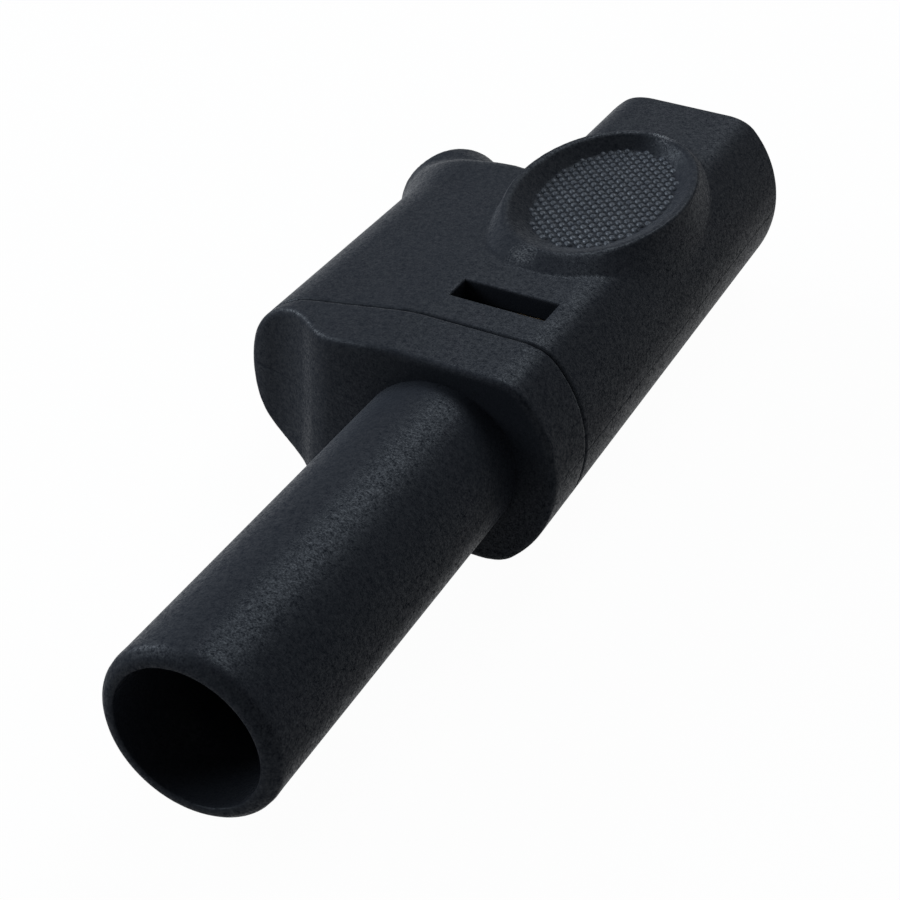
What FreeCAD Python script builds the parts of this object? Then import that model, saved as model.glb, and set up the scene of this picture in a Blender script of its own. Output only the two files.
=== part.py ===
import FreeCAD, Part
import math
import os

# Stackable 4 mm safety banana plug for self-assembly, lying on its flat underside.
# Sizes are in millimetres. The plug axis runs along Y and the sleeve points along -Y.
# The origin is on that axis, in the front face of the cap where the sleeve leaves it.

V = FreeCAD.Vector
TOP_AND_BOTTOM = (1, -1)

# Walls and clearances from the socket's bore outwards to the neck's surface
socket_radius = 2.025
barrel_wall = 0.475
barrel_fit = 0.05
guard_tube_wall = 0.55
guard_tube_clearance = 0.15
sleeve_wall = 0.75
sleeve_clearance = 0.15
neck_top_wall = 0.85
neck_side_wall = 1.75

# Guard sleeve of the cap
sleeve_length = 21.4
sleeve_rim_chamfer = 0.4
partition_front_y = -0.4
partition_thickness = 1.8

# Section shared by cap and housing: a flat topped neck with a round ended wing on its left
shoulder_drop = 2.55
wing_centre_x = -7.9
wing_drop = 0.85
shoulder_round = 0.5
wing_blend_radius = 8.0
wall = 1.1

# Lengths along the plug axis, measured from the front face of the cap
cap_depth = 3.75
cavity_end_y = 10.3
wing_end_y = 21.4
wing_end_round = 0.9
neck_end_chamfer = 0.2

# Plan of the cap's left end: a leaning face, a ridge and a finger scoop
face_lean = 0.45
ridge_x = -6.65
scoop_corner_x = -9.0
scoop_corner_thickness = 1.09
scoop_end_thickness = 0.35
scoop_radius = 2.2
cap_edge_bevel = 0.3
ridge_round = 0.6

# Snap fit between cap and housing
spigot_wall = 0.8
spigot_length = 1.25
spigot_clearance = 0.08
spigot_left_x = -5.5
window_half_width = 2.45
window_start_y = 6.0
window_length = 1.7
tongue_side_clearance = 0.35
tongue_slit = 0.5
tongue_tip_length = 0.3
hook_clearance = 0.06
hook_below_surface = 0.35
hook_crest_length = 0.3
hook_ramp_deg = 45.0

# Guarded socket in the rear end
guard_gap_spare = 0.2
guard_tube_recess = 0.3
guard_lip_hold = 0.1
guard_lip_length = 3.0

# Cable outlet: a straight channel in the wing and a tapered tube that leaves at an angle
cable_radius = 2.1
outlet_wall = 0.95
outlet_taper = 0.3
outlet_angle_deg = 45.0
outlet_length = 4.8
outlet_elbow_depth = 0.05
outlet_end_chamfer = 0.35
outlet_mouth_flare = 0.35
outlet_root_round = 0.9

# Finger pad on top of the neck
pad_centre_y = 19.1
pad_rise = 0.6
pad_crest_half_length = 7.95
pad_crest_width = 0.3
pad_skirt_width = 0.85
pad_foot_shift = 0.55
pad_foot_half_length = 8.75
pad_foot_margin = 0.53
pad_foot_squareness = 2.37
pad_foot_sink = 0.12
pad_floor_depth = 0.2
pad_floor_half_length = 6.2
pad_floor_shift = 0.6
pad_dish_wall_run = 0.97
pad_curve_points = 32

# Contact pin, from its nose to the journal that carries block and barrel
pin_recess = 4.3
pin_nose_radius = 1.9
pin_nose_length = 1.1
pin_nose_round = 0.75
pin_nose_steps = 2
pin_core_radius = 1.42
pin_shank_radius = 1.95
pin_shank_length = 2.3
pin_land_radius = 2.35
pin_hole_clearance = 0.1
collar_overlap = 0.35
collar_chamfer = 0.12
journal_radius = 1.7
journal_grip = 3.0
journal_fit = 0.02

# Spring cage on the core of the pin
cage_wall = 0.16
cage_bulge_radius = 2.08
cage_fit = 0.04
cage_end_gap = 0.05
cage_band_length = 1.1
cage_rib_steps = 3
cage_slot_width = 0.45
cage_slots = 8

# Rear socket barrel
barrel_end_gap = 0.1
barrel_edge_chamfer = 0.1
socket_length = 14.3
socket_mouth_chamfer = 0.25
journal_hole_spare = 0.2

# Terminal block, the ribs that hold it, and the clamp screw
block_front_gap = 0.15
block_wall = 0.38
block_end_clearance = 0.2
block_edge_chamfer = 0.2
rib_thickness = 0.6
rib_offset_from_window = 0.3
rib_fit = 0.05
wire_radius = 1.35
screw_radius = 1.5
screw_thread_clearance = 0.03
screw_length = 2.0
screw_stand_out = 0.4
screw_slot_width = 0.5
screw_slot_depth = 0.6
screw_point_chamfer = 0.35

# Radii and widths worked out from the walls and clearances above
barrel_radius = socket_radius + barrel_wall
guard_lip_radius = barrel_radius - barrel_edge_chamfer - guard_lip_hold
guard_tube_radius = barrel_radius + barrel_fit + guard_tube_wall
sleeve_bore_radius = guard_tube_radius + guard_tube_clearance
sleeve_radius = sleeve_bore_radius + sleeve_wall
guard_gap_radius = sleeve_radius + sleeve_clearance
body_half_height = guard_gap_radius + neck_top_wall
neck_half_width = guard_gap_radius + neck_side_wall
flat_half_width = neck_half_width - shoulder_drop
wing_radius = body_half_height - wing_drop
outlet_end_radius = cable_radius + outlet_wall
outlet_root_radius = outlet_end_radius + outlet_taper
pad_crest_height = body_half_height + pad_rise
pad_floor_height = body_half_height - pad_floor_depth
pad_foot_half_width = neck_half_width - pad_foot_margin
pad_crest_half_width = pad_foot_half_width - pad_skirt_width
pad_floor_half_width = pad_crest_half_width - pad_crest_width - pad_dish_wall_run
pin_hole_radius = pin_land_radius + pin_hole_clearance
collar_radius = pin_hole_radius + collar_overlap
block_half_height = journal_radius + journal_fit + block_wall

# Places worked out from the sizes above
partition_end_y = partition_front_y + partition_thickness
block_start_y = cap_depth + block_front_gap
wire_y = (block_start_y + cavity_end_y) / 2
spigot_end_y = cap_depth + spigot_length
spigot_outer_inset = wall + spigot_clearance
spigot_inner_inset = spigot_outer_inset + spigot_wall
tongue_half_width = window_half_width - tongue_side_clearance
gap_bottom_y = cavity_end_y + wall
neck_end_y = gap_bottom_y + sleeve_length + guard_gap_spare
guard_tube_end_y = neck_end_y - guard_tube_recess
lip_start_y = guard_tube_end_y - guard_lip_length
barrel_end_y = lip_start_y - barrel_end_gap
outlet_elbow_y = wing_end_y - outlet_elbow_depth
pin_tip_y = pin_recess - sleeve_length
core_start_y = pin_tip_y + pin_nose_length
core_end_y = partition_front_y - pin_shank_length
journal_end_y = cavity_end_y + journal_grip
side_radius = (shoulder_drop ** 2 + body_half_height ** 2) / (2 * shoulder_drop)
side_centre_x = neck_half_width - side_radius


def cylinder_y(radius, start_y, end_y, x=0.0):
    """A cylinder along Y, its axis at height zero."""
    return Part.makeCylinder(radius, end_y - start_y, V(x, start_y, 0), V(0, 1, 0))


def box(low, high):
    """A box from its lowest corner to its highest."""
    size = V(*high) - V(*low)
    return Part.makeBox(size.x, size.y, size.z, V(*low))


def above_and_below(low, high):
    """A box and its mirror image below the mid plane."""
    upper = box(low, high)
    return [upper, upper.mirror(V(0, 0, 0), V(0, 0, 1))]


def turned(profile):
    """A solid of revolution about the plug axis, from (radius, y) corners."""
    corners = [V(radius, y, 0) for radius, y in profile]
    face = Part.Face(Part.makePolygon(corners + corners[:1]))
    return face.revolve(V(0, 0, 0), V(0, 1, 0), 360)


def edges_where(shape, test):
    """The edges whose middle point passes the test."""
    found = []
    for edge in shape.Edges:
        middle = edge.valueAt((edge.FirstParameter + edge.LastParameter) / 2)
        if test(middle):
            found.append(edge)
    return found


def arc(centre, radius, start, end):
    """An arc in the XZ plane about a centre, between two angles in radians."""
    points = []
    for angle in (start, (start + end) / 2, end):
        points.append(centre + V(radius * math.cos(angle), 0, radius * math.sin(angle)))
    return Part.Arc(*points).toShape()


def wing_tangent_angle():
    """Direction from the wing's centre to where its sloping top meets its round end."""
    crease = V(-flat_half_width - wing_centre_x, body_half_height, 0)
    return math.atan2(crease.y, crease.x) + math.acos(wing_radius / crease.Length)


def right_side(y, inset):
    """Upper right quarter of the section: the bulging side and its rounded shoulder."""
    radius = side_radius - inset
    height = body_half_height - inset
    reach = math.sqrt((radius - shoulder_round) ** 2 - (height - shoulder_round) ** 2)
    shoulder = V(side_centre_x + reach, y, height - shoulder_round)
    turn = math.atan2(shoulder.z, reach)
    side = arc(V(side_centre_x, y, 0), radius, 0, turn)
    return [side, arc(shoulder, shoulder_round, turn, math.pi / 2)], shoulder.x


def wing_side(y, inset):
    """Upper left quarter of the section: sloping top and round end of the wing."""
    angle = wing_tangent_angle()
    radius = wing_radius - inset
    height = body_half_height - inset
    centre = V(wing_centre_x, y, 0)
    touch = centre + V(radius * math.cos(angle), 0, radius * math.sin(angle))
    uphill = V(math.sin(angle), 0, -math.cos(angle))
    crease = touch + uphill * ((height - touch.z) / uphill.z)
    setback = wing_blend_radius * math.tan((angle - math.pi / 2) / 2)
    blend_start = crease + V(setback, 0, 0)
    blend_centre = blend_start - V(0, 0, wing_blend_radius)
    edges = [
        arc(blend_centre, wing_blend_radius, math.pi / 2, angle),
        Part.makeLine(crease - uphill * setback, touch),
        arc(centre, radius, angle, math.pi),
    ]
    return edges, blend_start.x


def closed_section(right, left, right_x, left_x, y, height):
    """Close two upper quarters with the flat top and mirror them to the underside."""
    top = Part.makeLine(V(right_x, y, height), V(left_x, y, height))
    upper = right + [top] + left
    lower = [edge.mirror(V(0, 0, 0), V(0, 0, 1)) for edge in upper]
    return Part.Face(Part.Wire(Part.__sortEdges__(upper + lower)))


def body_section(y, inset=0.0):
    """The section of neck and wing together, moved in by the inset on every side."""
    right, right_x = right_side(y, inset)
    left, left_x = wing_side(y, inset)
    return closed_section(right, left, right_x, left_x, y, body_half_height - inset)


def neck_section(y):
    """The section of the neck alone, alike on its left and right."""
    right, right_x = right_side(y, 0.0)
    left = [edge.mirror(V(0, 0, 0), V(1, 0, 0)) for edge in right]
    return closed_section(right, left, right_x, -right_x, y, body_half_height)


def body_length(start_y, end_y, inset=0.0):
    """The shared section drawn along Y."""
    return body_section(start_y, inset).extrude(V(0, end_y - start_y, 0))


def side_height(x):
    """Height of the neck's outside above the mid plane, at a distance from its middle."""
    reach = abs(x) - side_centre_x
    return min(body_half_height, math.sqrt(max(0.0, side_radius ** 2 - reach ** 2)))


def squarish(value):
    """Push a sine or cosine outwards, which turns an ellipse into a squarish oval."""
    return math.copysign(abs(value) ** (2.0 / pad_foot_squareness), value)


def foot_point(turn):
    """A point of the pad's foot, just under the surface of the neck."""
    x = pad_foot_half_width * squarish(math.cos(turn))
    y = pad_centre_y - pad_foot_shift + pad_foot_half_length * squarish(math.sin(turn))
    return V(x, y, side_height(x) - pad_foot_sink)


def crest_point(turn):
    x = pad_crest_half_width * math.cos(turn)
    return V(x, pad_centre_y + pad_crest_half_length * math.sin(turn), pad_crest_height)


def closed_curve(points):
    curve = Part.BSplineCurve()
    curve.interpolate(Points=points, PeriodicFlag=True)
    return curve.toShape()


def pad_mound():
    """The raised oval of the pad: a skirt that runs from its crest down onto the neck."""
    turns = [2 * math.pi * (i + 0.5) / pad_curve_points for i in range(pad_curve_points)]
    feet = [foot_point(turn) for turn in turns]
    crest = closed_curve([crest_point(turn) for turn in turns])
    foot = closed_curve(feet)
    base = closed_curve([V(point.x, point.y, 0) for point in feet])
    skins = [
        Part.makeRuledSurface(crest, foot),
        Part.makeRuledSurface(foot, base),
        Part.Face(Part.Wire(crest)),
        Part.Face(Part.Wire(base)),
    ]
    shell = Part.Shell([face for skin in skins for face in skin.Faces])
    shell.sewShape()
    return Part.makeSolid(shell)


def pad_oval(half_length, half_width, shift, height):
    """An ellipse at a height, its centre shifted back from the middle of the pad."""
    centre = V(0, pad_centre_y + shift, height)
    ellipse = Part.Ellipse(centre + V(0, half_length, 0), centre + V(half_width, 0, 0), centre)
    return Part.Wire(ellipse.toShape())


def pad_dish():
    """The hollow of the pad: a flat oval floor, set back, with walls that slope up to the crest."""
    rise = pad_crest_height - pad_floor_height
    longer = pad_crest_half_length - pad_crest_width - pad_floor_half_length
    floor = pad_oval(
        pad_floor_half_length, pad_floor_half_width, pad_floor_shift, pad_floor_height)
    above_crest = pad_oval(
        pad_floor_half_length + 2 * longer,
        pad_floor_half_width + 2 * pad_dish_wall_run,
        -pad_floor_shift,
        pad_floor_height + 2 * rise)
    return Part.makeLoft([floor, above_crest], True, True)


def outlet_direction():
    angle = math.radians(outlet_angle_deg)
    return V(-math.sin(angle), math.cos(angle), 0)


def outlet_elbow():
    """Where the channel along Y meets the axis of the slanting outlet."""
    return V(wing_centre_x, outlet_elbow_y, 0)


def along_outlet(point):
    """How far along the outlet's axis a point lies, and how far from that axis."""
    from_elbow = point - outlet_elbow()
    along = from_elbow.dot(outlet_direction())
    return along, (from_elbow - outlet_direction() * along).Length


def outlet_tube():
    """The tapered cable outlet, from inside the wing to its bevelled rim."""
    elbow = outlet_elbow()
    tube = Part.makeCone(
        outlet_root_radius, outlet_end_radius, outlet_length, elbow, outlet_direction())
    rim = edges_where(tube, lambda p: along_outlet(p)[0] > outlet_length - 0.01)
    knee = Part.makeSphere(outlet_root_radius, elbow)
    return tube.makeChamfer(outlet_end_chamfer, rim).fuse(knee)


def outlet_root(body):
    """The curved edges where the outlet tube leaves the wing and the neck."""

    def on_tube(p):
        along, away = along_outlet(p)
        radius = outlet_root_radius - outlet_taper * along / outlet_length
        return abs(away - radius) < 0.001 and 0 < along < outlet_length - 2 * outlet_end_chamfer

    found = edges_where(body, on_tube)
    return [edge for edge in found if edge.Curve.TypeId != "Part::GeomLine"]


def cable_way():
    """The hollow that the cable lies in, from the terminal cavity out of the outlet."""
    elbow = outlet_elbow()
    straight = cylinder_y(cable_radius, cavity_end_y, elbow.y, wing_centre_x)
    slant = Part.makeCylinder(cable_radius, outlet_length, elbow, outlet_direction())
    mouth_start = elbow + outlet_direction() * (outlet_length - outlet_mouth_flare)
    mouth = Part.makeCone(
        cable_radius, cable_radius + outlet_mouth_flare, outlet_mouth_flare,
        mouth_start, outlet_direction())
    return straight.fuse([slant, Part.makeSphere(cable_radius, elbow), mouth])


def guarded_socket_hollow():
    """The ring-shaped gap for another plug's sleeve, and the bore for the barrel."""
    gap = cylinder_y(guard_gap_radius, gap_bottom_y, neck_end_y)
    gap = gap.cut(cylinder_y(guard_tube_radius, gap_bottom_y, guard_tube_end_y))
    barrel_bore = cylinder_y(barrel_radius + barrel_fit, cavity_end_y, lip_start_y)
    lip_bore = cylinder_y(guard_lip_radius, lip_start_y, neck_end_y)
    return gap.fuse([barrel_bore, lip_bore])


def terminal_cavity():
    """The hollow behind the cap, less the ribs that hold the terminal block level."""
    inner_x = window_half_width + rib_offset_from_window
    start = (inner_x, spigot_end_y + rib_offset_from_window, block_half_height + rib_fit)
    end = (inner_x + rib_thickness, cavity_end_y, body_half_height)
    right_ribs = above_and_below(start, end)
    left_ribs = [rib.mirror(V(0, 0, 0), V(1, 0, 0)) for rib in right_ribs]
    return body_length(cap_depth, cavity_end_y, wall).cut(right_ribs + left_ribs)


def latch_windows():
    """The slots for the cap's latches, through the top wall and the bottom wall."""
    return box(
        (-window_half_width, window_start_y, -body_half_height - wall),
        (window_half_width, window_start_y + window_length, body_half_height + wall))


def housing():
    """The moulded body: wing, neck, finger pad, cable outlet and guarded rear socket."""
    wing = body_length(cap_depth, wing_end_y)
    wing = wing.makeFillet(wing_end_round, edges_where(
        wing, lambda p: p.y > wing_end_y - 0.01 and p.x < wing_centre_x / 2))
    neck = neck_section(cap_depth).extrude(V(0, neck_end_y - cap_depth, 0))
    neck = neck.makeChamfer(
        neck_end_chamfer, edges_where(neck, lambda p: p.y > neck_end_y - 0.01))
    body = wing.fuse([neck]).removeSplitter()
    body = body.fuse([outlet_tube()]).removeSplitter()
    body = body.makeFillet(outlet_root_round, outlet_root(body))
    body = body.fuse([pad_mound()]).cut(pad_dish())
    return body.cut([terminal_cavity(), cable_way(), guarded_socket_hollow(), latch_windows()])


def scoop_outline(ridge):
    """The edges from the ridge down the scoop to past the wing's end, and where they end."""
    past_wing_x = wing_centre_x - wing_radius - wall
    corner = V(scoop_corner_x, cap_depth - scoop_corner_thickness, 0)
    floor_end = V(past_wing_x, cap_depth - scoop_end_thickness, 0)
    down = (corner - ridge).normalize()
    out = (floor_end - corner).normalize()
    steep = math.atan2(down.y, -down.x)
    shallow = math.atan2(out.y, -out.x)
    half_turn = (steep - shallow) / 2
    setback = scoop_radius * math.tan(half_turn)
    start = corner - down * setback
    end = corner + out * setback
    bisector = (out - down).normalize()
    middle = corner + bisector * (scoop_radius * (1 / math.cos(half_turn) - 1))
    edges = [
        Part.makeLine(ridge, start),
        Part.Arc(start, middle, end).toShape(),
        Part.makeLine(end, floor_end),
    ]
    return edges, floor_end


def cap_plan():
    """The cap seen from above: a face that bends back to a ridge, then a finger scoop."""
    bend_start = V(-flat_half_width, 0, 0)
    ridge = V(ridge_x, face_lean, 0)
    bend_width = bend_start.x - ridge_x
    bend_radius = (bend_width ** 2 + face_lean ** 2) / (2 * face_lean)
    half_bend = math.asin(bend_width / bend_radius) / 2
    bend_middle = bend_start + V(
        -bend_radius * math.sin(half_bend), bend_radius * (1 - math.cos(half_bend)), 0)
    scoop, floor_end = scoop_outline(ridge)
    right_x = neck_half_width + wall
    back = [floor_end, V(floor_end.x, cap_depth, 0), V(right_x, cap_depth, 0), V(right_x, 0, 0)]
    edges = scoop + Part.makePolygon(back + [bend_start]).Edges
    edges.append(Part.Arc(bend_start, bend_middle, ridge).toShape())
    face = Part.Face(Part.Wire(Part.__sortEdges__(edges)))
    height = 2 * (body_half_height + wall)
    plate = face.extrude(V(0, 0, height)).translate(V(0, 0, -height / 2))
    return plate.makeFillet(ridge_round, edges_where(
        plate, lambda p: p.distanceToPoint(V(ridge.x, ridge.y, p.z)) < 0.01 and abs(p.z) < 0.01))


def is_along(edge, direction):
    """Whether an edge is a straight line in the given direction."""
    if edge.Curve.TypeId != "Part::GeomLine":
        return False
    return edge.tangentAt(edge.FirstParameter).cross(direction).Length < 0.001


def cap_body():
    """The cap without its sleeve: the shared section, shaped in plan and bevelled in front."""
    body = body_length(0, cap_depth).common(cap_plan()).removeSplitter()
    outline = edges_where(body, lambda p: p.y < cap_depth - 0.01)
    return body.makeChamfer(cap_edge_bevel, [
        edge for edge in outline
        if not is_along(edge, V(0, 1, 0)) and not is_along(edge, V(0, 0, 1))])


def tongue(side):
    """A latch tongue with its hook, on the top side (1) or the bottom side (-1)."""
    low = body_half_height - spigot_inner_inset
    high = body_half_height - spigot_outer_inset
    crest = body_half_height - hook_below_surface
    hook_y = window_start_y + hook_clearance
    ramp_y = hook_y + hook_crest_length
    ramp_end_y = ramp_y + (crest - high) / math.tan(math.radians(hook_ramp_deg))
    tip_y = ramp_end_y + tongue_tip_length
    profile = [
        (partition_end_y, low), (partition_end_y, high), (hook_y, high), (hook_y, crest),
        (ramp_y, crest), (ramp_end_y, high), (tip_y, high), (tip_y, low),
    ]
    corners = [V(-tongue_half_width, y, side * z) for y, z in profile]
    face = Part.Face(Part.makePolygon(corners + corners[:1]))
    return face.extrude(V(2 * tongue_half_width, 0, 0))


def spigot():
    """The rim that locates the cap in the housing, slit on both sides of each tongue."""
    outer = body_length(partition_end_y, spigot_end_y, spigot_outer_inset)
    inner = body_length(partition_end_y, spigot_end_y, spigot_inner_inset)
    keep = box(
        (spigot_left_x, partition_end_y, -body_half_height),
        (neck_half_width, spigot_end_y, body_half_height))
    slit_x = tongue_half_width + tongue_slit
    slits = above_and_below((-slit_x, cap_depth, 0), (slit_x, spigot_end_y, body_half_height))
    return outer.cut([inner]).common(keep).cut(slits)


def front_cap():
    """The moulded cap: sleeve, scooped front, pin partition, spigot and latch tongues."""
    sleeve = cylinder_y(sleeve_radius, -sleeve_length, partition_end_y)
    sleeve = sleeve.makeChamfer(sleeve_rim_chamfer, edges_where(
        sleeve, lambda p: p.y < 0.01 - sleeve_length))
    core = body_length(partition_end_y, cap_depth, spigot_inner_inset).common(box(
        (spigot_left_x, partition_end_y, -body_half_height),
        (neck_half_width, cap_depth, body_half_height)))
    bore = cylinder_y(sleeve_bore_radius, -sleeve_length, partition_front_y)
    pin_hole = cylinder_y(pin_hole_radius, partition_front_y, partition_end_y)
    cap = cap_body().fuse([sleeve]).cut([bore, pin_hole, core])
    return cap.fuse([spigot()] + [tongue(side) for side in TOP_AND_BOTTOM]).removeSplitter()


def contact_pin():
    """The turned pin: nose, core for the cage, shank, land, collar and journal."""
    profile = [(0, pin_tip_y)]
    for i in range(pin_nose_steps + 1):
        turn = math.pi / 2 * i / pin_nose_steps
        profile.append((
            pin_nose_radius - pin_nose_round * (1 - math.sin(turn)),
            pin_tip_y + pin_nose_round * (1 - math.cos(turn))))
    profile += [
        (pin_nose_radius, core_start_y),
        (pin_core_radius, core_start_y), (pin_core_radius, core_end_y),
        (pin_shank_radius, core_end_y), (pin_shank_radius, partition_front_y),
        (pin_land_radius, partition_front_y), (pin_land_radius, partition_end_y),
        (collar_radius - collar_chamfer, partition_end_y),
        (collar_radius, partition_end_y + collar_chamfer),
        (collar_radius, block_start_y - collar_chamfer),
        (collar_radius - collar_chamfer, block_start_y),
        (journal_radius, block_start_y), (journal_radius, journal_end_y), (0, journal_end_y),
    ]
    return turned(profile)


def spring_cage():
    """The bulged sleeve that grips a socket, slotted all round into spring ribs."""
    start_y = core_start_y + cage_end_gap
    end_y = core_end_y - cage_end_gap
    low_y = start_y + cage_band_length
    high_y = end_y - cage_band_length
    inner = pin_core_radius + cage_fit
    outer = inner + cage_wall
    bulge = cage_bulge_radius - outer
    inside = [(inner, start_y)]
    outside = [(outer, start_y)]
    for i in range(cage_rib_steps + 1):
        share = i / cage_rib_steps
        rise = min(bulge, 2 * bulge * math.sin(math.pi * share))
        y = low_y + (high_y - low_y) * share
        inside.append((inner + rise, y))
        outside.append((outer + rise, y))
    inside.append((inner, end_y))
    outside.append((outer, end_y))
    cage = turned(inside + outside[::-1])
    slots = []
    for i in range(cage_slots):
        slot = box(
            (-cage_slot_width / 2, low_y, 0),
            (cage_slot_width / 2, high_y, 2 * cage_bulge_radius))
        slot.rotate(V(0, 0, 0), V(0, 1, 0), 360 * i / cage_slots)
        slots.append(slot)
    return cage.cut(slots)


def socket_barrel():
    """The turned socket behind the block, which takes the next plug of a stack."""
    barrel = cylinder_y(barrel_radius, cavity_end_y, barrel_end_y)
    barrel = barrel.makeChamfer(barrel_edge_chamfer, [
        edge for edge in barrel.Edges if edge.Closed])
    journal_hole = cylinder_y(
        journal_radius + journal_fit, cavity_end_y, journal_end_y + journal_hole_spare)
    bore = cylinder_y(socket_radius, barrel_end_y - socket_length, barrel_end_y)
    mouth = Part.makeCone(
        socket_radius, socket_radius + socket_mouth_chamfer, socket_mouth_chamfer,
        V(0, barrel_end_y - socket_mouth_chamfer, 0), V(0, 1, 0))
    return barrel.cut([journal_hole, bore, mouth])


def terminal_block():
    """The brass bar that joins pin, barrel and wire."""
    cavity_reach = math.sqrt((wing_radius - wall) ** 2 - block_half_height ** 2)
    side_reach = math.sqrt((side_radius - spigot_inner_inset) ** 2 - block_half_height ** 2)
    left_x = wing_centre_x - cavity_reach + block_end_clearance
    right_x = side_centre_x + side_reach - block_end_clearance
    block = box(
        (left_x, block_start_y, -block_half_height), (right_x, cavity_end_y, block_half_height))
    block = block.makeChamfer(block_edge_chamfer, block.Edges)
    pin_bore = cylinder_y(journal_radius + journal_fit, block_start_y, cavity_end_y)
    wire_bore = cylinder_y(wire_radius, block_start_y, cavity_end_y, wing_centre_x)
    screw_bore = Part.makeCylinder(
        screw_radius + screw_thread_clearance, block_half_height, V(wing_centre_x, wire_y, 0))
    return block.cut([pin_bore, wire_bore, screw_bore])


def clamp_screw():
    """The slotted set screw that presses the wire into the block."""
    top = block_half_height + screw_stand_out
    bottom = top - screw_length
    screw = Part.makeCylinder(screw_radius, screw_length, V(wing_centre_x, wire_y, bottom))
    screw = screw.makeChamfer(screw_point_chamfer, edges_where(
        screw, lambda p: p.z < bottom + 0.01))
    slot = box(
        (wing_centre_x - screw_radius, wire_y - screw_slot_width / 2, top - screw_slot_depth),
        (wing_centre_x + screw_radius, wire_y + screw_slot_width / 2, top))
    return screw.cut(slot)


NODES = {
    "front_cap": front_cap,
    "housing": housing,
    "contact_pin": contact_pin,
    "spring_cage": spring_cage,
    "socket_barrel": socket_barrel,
    "terminal_block": terminal_block,
    "clamp_screw": clamp_screw,
}

os.makedirs("parts", exist_ok=True)
for name, make in NODES.items():
    shape = make()
    shape.exportStep("parts/" + name + ".step")
    print(name, "solids", len(shape.Solids), "valid", shape.isValid(), "mm3", round(shape.Volume, 2))
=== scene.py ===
# %% [markdown]
# # A stackable safety plug
# The plug is a near-black moulding in two shells, a cap with a long guard sleeve and a housing
# with a dished finger pad, around a few small turned metal pieces. This lesson loads the packed
# model as a fixed frame, remakes each visible piece with the soft edges that a mould leaves, and
# lights it as a product picture on white. Lengths are written in millimetres, as on a drawing,
# and become metres only when a mesh is made.

# %% Load the frame
import math

import bpy
import numpy as np
from mathutils import Matrix, Vector


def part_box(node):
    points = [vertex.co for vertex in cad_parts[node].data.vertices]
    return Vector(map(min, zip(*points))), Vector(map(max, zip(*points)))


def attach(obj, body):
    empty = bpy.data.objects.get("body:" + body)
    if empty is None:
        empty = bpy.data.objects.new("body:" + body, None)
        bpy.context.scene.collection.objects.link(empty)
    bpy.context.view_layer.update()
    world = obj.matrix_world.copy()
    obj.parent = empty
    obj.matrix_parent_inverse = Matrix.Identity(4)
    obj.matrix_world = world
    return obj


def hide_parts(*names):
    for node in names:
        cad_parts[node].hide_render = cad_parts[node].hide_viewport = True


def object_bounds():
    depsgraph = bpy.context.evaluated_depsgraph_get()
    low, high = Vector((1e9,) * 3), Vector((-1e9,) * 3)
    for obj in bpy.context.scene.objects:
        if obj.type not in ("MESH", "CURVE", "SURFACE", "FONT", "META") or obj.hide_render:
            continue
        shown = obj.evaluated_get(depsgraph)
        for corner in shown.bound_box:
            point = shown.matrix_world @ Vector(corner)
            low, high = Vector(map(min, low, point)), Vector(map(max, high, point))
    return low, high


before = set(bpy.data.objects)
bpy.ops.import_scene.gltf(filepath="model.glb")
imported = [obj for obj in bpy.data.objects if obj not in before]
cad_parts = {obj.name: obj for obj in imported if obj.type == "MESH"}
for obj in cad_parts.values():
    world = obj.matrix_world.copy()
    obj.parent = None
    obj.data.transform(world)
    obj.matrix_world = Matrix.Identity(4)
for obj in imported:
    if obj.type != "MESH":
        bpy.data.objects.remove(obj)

MM = 0.001
cad_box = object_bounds()


def node_box(name):
    """Lowest and highest corner of a node, in millimetres."""
    low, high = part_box(name)
    return [v / MM for v in low], [v / MM for v in high]


cap_low, cap_high = node_box("front_cap")
housing_low, housing_high = node_box("housing")
print("cap", cap_low, cap_high)
print("housing", housing_low, housing_high)

# %% [markdown]
# ## The camera
# The photograph looks down on the plug from its sleeve end. A camera's place and turn can be
# guessed by eye, but here both were solved from the sleeve's sides, the cap's seam and the
# latch window, so they are written as a position and one turn about one axis. The turn takes
# the frame's directions to the picture's right, down and away; Blender's camera looks along
# its own -Z with +Y up, so the last two directions change sign.

# %% Place the camera
camera_place = Vector((29.686, -64.194, 48.537)) * MM
camera_turn = Vector((2.1152166, 0.5098867, -0.2155919))
focal_length_px = 1858.87
picture_px = 900
sensor_mm = 36.0

lens = bpy.data.cameras.new("camera")
lens.sensor_width = sensor_mm
lens.lens = focal_length_px / picture_px * sensor_mm
lens.clip_start = 0.005
camera = bpy.data.objects.new("camera", lens)
bpy.context.scene.collection.objects.link(camera)
to_picture = Matrix.Rotation(camera_turn.length, 3, camera_turn)
to_frame = to_picture.transposed() @ Matrix.Diagonal((1, -1, -1))
camera.matrix_world = Matrix.Translation(camera_place) @ to_frame.to_4x4()
bpy.context.scene.camera = camera
print("lens", round(lens.lens, 2), "mm")

# %% [markdown]
# ## Shader maths as Python
# A finish is easier to read as an expression than as a list of links. `Value` wraps one socket,
# and its operators add Math nodes. `Finish.add` makes every other node: its type, its settings,
# then the values or links of its inputs.


# %% Value and Finish
class Value:
    """One socket of a shader tree, whose operators add Math nodes."""

    def __init__(self, finish, socket):
        self.finish = finish
        self.socket = socket

    def math(self, operation, first, second=0.0):
        return self.finish.add("ShaderNodeMath", {"operation": operation}, {0: first, 1: second})

    def __add__(self, other):
        return self.math("ADD", self, other)

    def __radd__(self, other):
        return self.math("ADD", other, self)

    def __sub__(self, other):
        return self.math("SUBTRACT", self, other)

    def __rsub__(self, other):
        return self.math("SUBTRACT", other, self)

    def __mul__(self, other):
        return self.math("MULTIPLY", self, other)

    def __rmul__(self, other):
        return self.math("MULTIPLY", other, self)

    def __abs__(self):
        return self.math("ABSOLUTE", self)

    def larger(self, other):
        return self.math("MAXIMUM", self, other)


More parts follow.
